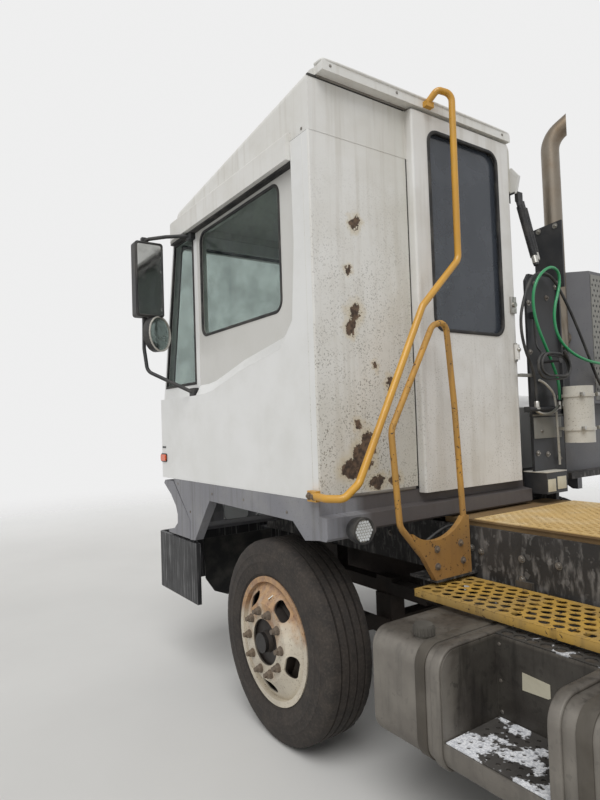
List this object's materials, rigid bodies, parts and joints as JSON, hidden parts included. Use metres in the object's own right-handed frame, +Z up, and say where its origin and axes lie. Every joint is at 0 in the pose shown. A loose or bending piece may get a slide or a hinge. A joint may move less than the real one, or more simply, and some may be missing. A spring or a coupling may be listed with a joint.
{
  "type": "terminal tractor",
  "caption": "Terminal tractor with offset tilting cab, sliding rear door, lifting fifth wheel boom and dual rear wheels.",
  "frame": {"origin": "on the floor, under the middle of the vehicle's bounding box", "axes": "+X to the vehicle's left, +Y to its rear, so that the front faces -Y, +Z up"},
  "size_m": [2.94, 5.2, 3.2783],
  "materials": {
    "white_paint": "satin, weathered",
    "grey_trim": "grained, dusty",
    "black_paint": "satin, dirty",
    "grey_paint": "matt",
    "frame_steel": "matt, salt-splashed",
    "engine_iron": "rough",
    "axle_iron": "rough, rusted",
    "tank_aluminium": "dull, dusty",
    "yellow_paint": "gloss, chipped",
    "stainless": "heat tinted",
    "chrome": "polished",
    "green_jacket": "gloss",
    "black_rubber": "matt",
    "black_plastic": "matt",
    "lamp_lens": "clear",
    "amber_lens": "gloss",
    "glass": "tinted",
    "seat_fabric": "woven",
    "tyre": "dusty rubber",
    "wheel_steel": "white paint, rusted"
  },
  "bodies": {
    "chassis": {"frame": "frame_steel", "front_bumper": "black_paint", "front_fascia": "grey_trim", "headlamps": "lamp_lens", "engine_and_radiator": "engine_iron", "front_axle": "axle_iron", "rear_axle": "axle_iron", "fuel_tank": "tank_aluminium", "step_plank": "yellow_paint", "deck_plate": "yellow_paint", "lower_grab_rail": "yellow_paint", "battery_box": "black_paint", "air_tanks": "black_paint", "treatment_box": "grey_paint", "exhaust_stack": "stainless", "hose_panel": "black_paint", "filter_canister": "white_paint", "green_cable": "green_jacket", "air_hose": "black_rubber", "cable_plug": "black_plastic", "hose_coupling": "stainless", "cable_coil": "black_rubber", "rear_guards": "black_rubber"},
    "cab": {"cab_floor": "white_paint", "cab_side_left": "white_paint", "cab_side_right": "white_paint", "cab_rear_wall": "white_paint", "cab_front_frame": "white_paint", "cab_glass": "glass", "nose_hood": "white_paint", "grille": "black_plastic", "arch_trims": "grey_trim", "marker_lamps": "amber_lens", "cab_roof": "white_paint", "roof_visor": "white_paint", "upper_grab_rail": "yellow_paint", "mirrors": "black_plastic", "seat": "seat_fabric", "dash": "black_plastic", "hose_tender": "black_rubber"},
    "rear_door": {"rear_door": "white_paint", "rear_door_glass": "glass"},
    "steer_left": {"knuckle_left": "axle_iron"},
    "steer_right": {"knuckle_right": "axle_iron"},
    "wheel_front_left": {"tyre_front_left": "tyre", "rim_front_left": "wheel_steel"},
    "wheel_front_right": {"tyre_front_right": "tyre", "rim_front_right": "wheel_steel"},
    "wheels_rear_left": {"tyres_rear_left": "tyre", "rims_rear_left": "wheel_steel"},
    "wheels_rear_right": {"tyres_rear_right": "tyre", "rims_rear_right": "wheel_steel"},
    "boom": {"boom": "frame_steel"},
    "fifth_wheel": {"fifth_wheel": "frame_steel"},
    "lift_barrels": {"lift_barrels": "black_paint"},
    "lift_rods": {"lift_rods": "chrome"}
  },
  "joints": [
    {"name": "cab_tilt", "type": "hinge", "parent": "chassis", "child": "cab", "pos_m": [0, -2.467, 1.075], "axis": [1, 0, 0], "range_deg": [0, 45]},
    {"name": "rear_door_slide", "type": "slide", "parent": "cab", "child": "rear_door", "axis": [1, 0, 0], "range_m": [0, 0.56]},
    {"name": "steer_left", "type": "hinge", "parent": "chassis", "child": "steer_left", "pos_m": [0.925, -1.217, 0.475], "axis": [0, 0, 1], "range_deg": [-38, 38]},
    {"name": "steer_right", "type": "hinge", "parent": "chassis", "child": "steer_right", "pos_m": [-0.925, -1.217, 0.475], "axis": [0, 0, 1], "range_deg": [-38, 38]},
    {"name": "wheel_front_left", "type": "hinge", "parent": "steer_left", "child": "wheel_front_left", "pos_m": [1.055, -1.217, 0.475], "axis": [1, 0, 0], "continuous": true},
    {"name": "wheel_front_right", "type": "hinge", "parent": "steer_right", "child": "wheel_front_right", "pos_m": [-1.055, -1.217, 0.475], "axis": [1, 0, 0], "continuous": true},
    {"name": "wheels_rear_left", "type": "hinge", "parent": "chassis", "child": "wheels_rear_left", "pos_m": [0.885, 1.729, 0.475], "axis": [1, 0, 0], "continuous": true},
    {"name": "wheels_rear_right", "type": "hinge", "parent": "chassis", "child": "wheels_rear_right", "pos_m": [-0.885, 1.729, 0.475], "axis": [1, 0, 0], "continuous": true},
    {"name": "boom_lift", "type": "hinge", "parent": "chassis", "child": "boom", "pos_m": [0, 0.43, 0.88], "axis": [1, 0, 0], "range_deg": [0, 20]},
    {"name": "fifth_wheel_rock", "type": "hinge", "parent": "boom", "child": "fifth_wheel", "pos_m": [0, 1.6, 1.07], "axis": [1, 0, 0], "range_deg": [-12, 12]},
    {"name": "lift_barrel_swing", "type": "hinge", "parent": "chassis", "child": "lift_barrels", "pos_m": [0, 0.9, 0.6], "axis": [1, 0, 0], "range_deg": [0, 27]},
    {"name": "lift_rod_slide", "type": "slide", "parent": "lift_barrels", "child": "lift_rods", "axis": [0, 0.9041, 0.4274], "range_m": [0, 0.18]}
  ],
  "couplings": [
    {"joint": "steer_right", "follows": "steer_left", "ratio": 1},
    {"joint": "lift_barrel_swing", "follows": "boom_lift", "ratio": 1.3069},
    {"joint": "lift_rod_slide", "follows": "boom_lift", "m_per_rad": 0.4932}
  ]
}
